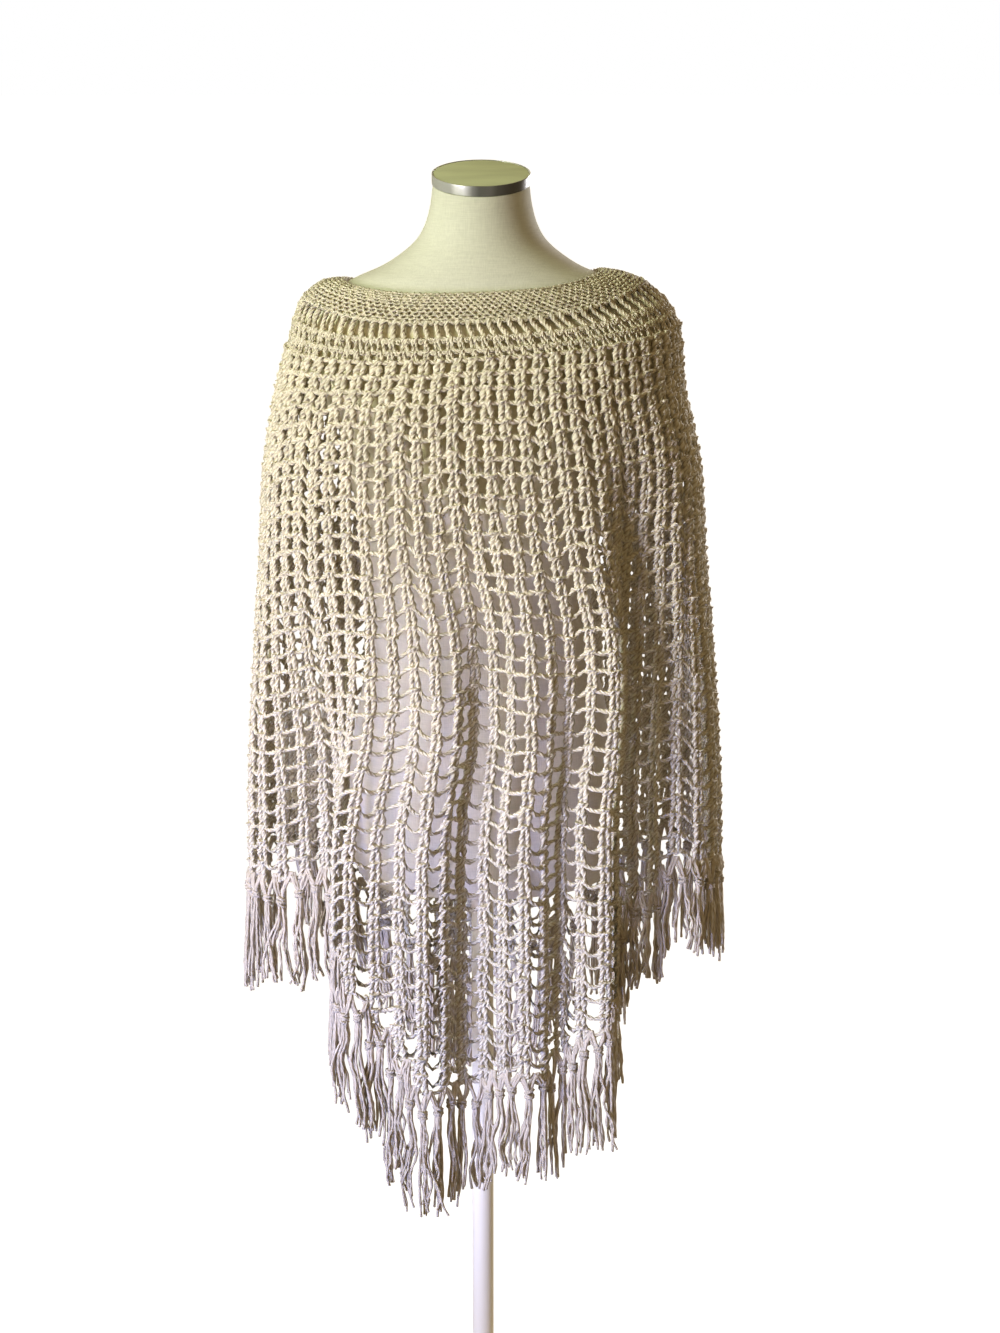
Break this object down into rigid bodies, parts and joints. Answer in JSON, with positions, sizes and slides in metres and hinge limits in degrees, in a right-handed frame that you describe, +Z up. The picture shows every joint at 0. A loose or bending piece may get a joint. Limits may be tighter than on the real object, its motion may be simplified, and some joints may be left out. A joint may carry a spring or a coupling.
{
  "type": "crocheted fringed poncho on a limbless dress form",
  "caption": "Open-mesh crocheted poncho with a dense boat-neck band, pointed hem and knotted fringe, standing on a limbless dress form with pole and round base",
  "frame": {"origin": "centre of the round base's underside, on the floor", "axes": "+Z up along the pole, the front faces -Y, +X is the viewer's right when facing the front"},
  "size_m": [0.5406, 0.3579, 1.4611],
  "materials": {
    "cotton_yarn": "undyed twisted cotton yarn, crocheted in an open mesh, matt",
    "fringe_yarn": "undyed cotton yarn ends, loosely twisted, matt",
    "linen_cover": "fine cream jersey stretched over a smooth torso, matt",
    "brushed_steel": "satin brushed round the band",
    "white_enamel": "white satin enamel on a steel tube and foot",
    "cap_plate": "pale moulded plate, matt"
  },
  "bodies": {
    "root": {"neckband": "cotton_yarn", "yoke_rows": "cotton_yarn", "front_mesh": "cotton_yarn", "back_mesh": "cotton_yarn", "front_fringe": "fringe_yarn", "back_fringe": "fringe_yarn", "form_body": "linen_cover", "cap_ring": "brushed_steel", "cap_plate": "cap_plate", "stand_pole": "white_enamel", "stand_base": "white_enamel"}
  },
  "joints": []
}
